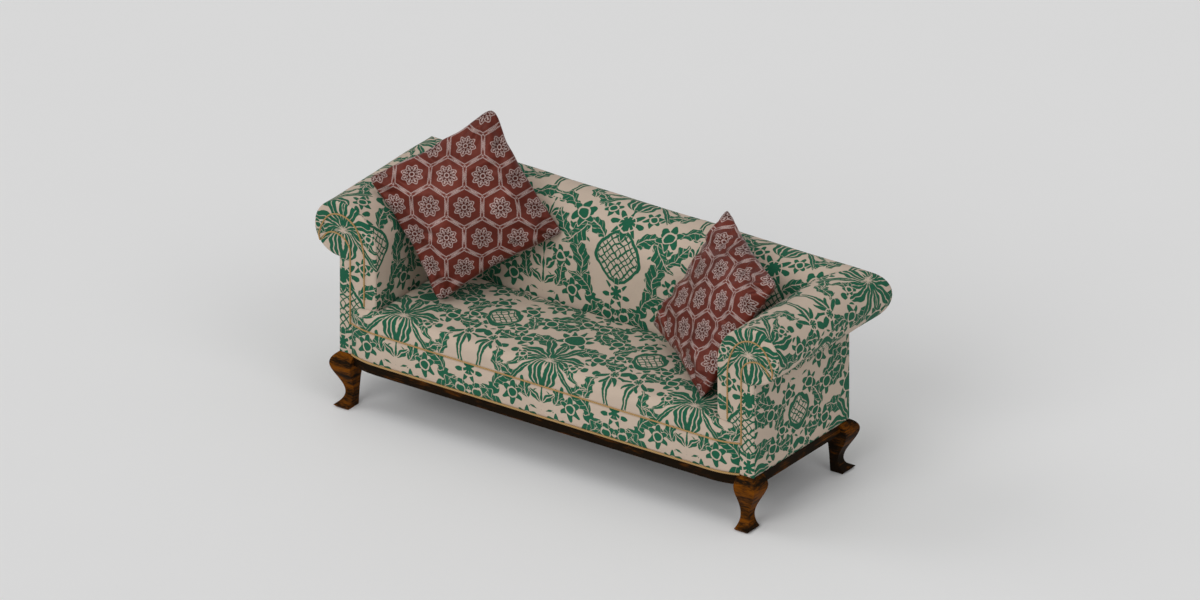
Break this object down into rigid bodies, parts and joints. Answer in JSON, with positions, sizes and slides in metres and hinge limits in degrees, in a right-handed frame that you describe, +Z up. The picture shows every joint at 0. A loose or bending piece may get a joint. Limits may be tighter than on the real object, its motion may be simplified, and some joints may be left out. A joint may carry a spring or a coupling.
{
  "type": "sofa",
  "caption": "Scroll-arm upholstered sofa with a fixed crowned seat, cabriole legs, cream and green damask cover, gold cord and loose brocade pillows",
  "frame": {"origin": "on the floor, under the middle of the bounding box", "axes": "+X to the right along the width, +Y to the back, +Z up; the front faces -Y"},
  "size_m": [2.104, 0.773, 1.149],
  "materials": {
    "damask": "woven two-colour damask, matt cream ground with green figures",
    "gold_cord": "twisted gold cord",
    "brocade": "dark red satin brocade with silver-grey trellis",
    "show_wood": "dark stained, satin varnish",
    "frame_wood": "sawn hardwood",
    "stuffing": "foam and fibre padding",
    "filling": "feather insert in white cotton",
    "jute": "woven jute",
    "dust_cloth": "black cambric",
    "steel": "bright steel wire and zinc screws"
  },
  "bodies": {
    "sofa": {"arm_hessian": "jute", "arm_tack_rails": "frame_wood", "arm_webbing": "jute", "back_cover": "damask", "back_hessian": "jute", "back_inside_pad": "stuffing", "back_outside_panel": "damask", "back_posts": "frame_wood", "back_roll_pad": "stuffing", "back_seat_rail": "frame_wood", "back_show_rail": "show_wood", "back_tack_rail": "frame_wood", "back_top_rail": "frame_wood", "back_uprights": "frame_wood", "back_webbing": "jute", "border_gimp": "gold_cord", "corner_block_screws": "steel", "corner_blocks": "frame_wood", "dust_cover": "dust_cloth", "dust_cover_tacks": "steel", "front_border": "damask", "front_seat_rail": "frame_wood", "front_show_rail": "show_wood", "left_arm_cover": "damask", "left_arm_facing": "damask", "left_arm_front_post": "frame_wood", "left_arm_inside_pad": "stuffing", "left_arm_outside_panel": "damask", "left_arm_rail": "frame_wood", "left_arm_roll_pad": "stuffing", "left_back_leg": "show_wood", "left_facing_piping": "gold_cord", "left_front_leg": "show_wood", "left_side_seat_rail": "frame_wood", "left_side_show_rail": "show_wood", "leg_bolts": "steel", "right_arm_cover": "damask", "right_arm_facing": "damask", "right_arm_front_post": "frame_wood", "right_arm_inside_pad": "stuffing", "right_arm_outside_panel": "damask", "right_arm_rail": "frame_wood", "right_arm_roll_pad": "stuffing", "right_back_leg": "show_wood", "right_facing_piping": "gold_cord", "right_front_leg": "show_wood", "right_side_seat_rail": "frame_wood", "right_side_show_rail": "show_wood", "seat_cover": "damask", "seat_cross_braces": "frame_wood", "seat_hessian": "jute", "seat_pad": "stuffing", "seat_springs": "steel", "seat_welt": "gold_cord", "spring_clips": "steel"},
    "left_pillow": {"left_pillow_cover": "brocade", "left_pillow_insert": "filling"},
    "right_pillow": {"right_pillow_cover": "brocade", "right_pillow_insert": "filling"}
  },
  "joints": [
    {"name": "left_pillow_lift", "type": "slide", "parent": "sofa", "child": "left_pillow", "axis": [0, 0, 1], "range_m": [0, 0.45]},
    {"name": "right_pillow_lift", "type": "slide", "parent": "sofa", "child": "right_pillow", "axis": [0, 0, 1], "range_m": [0, 0.45]}
  ]
}
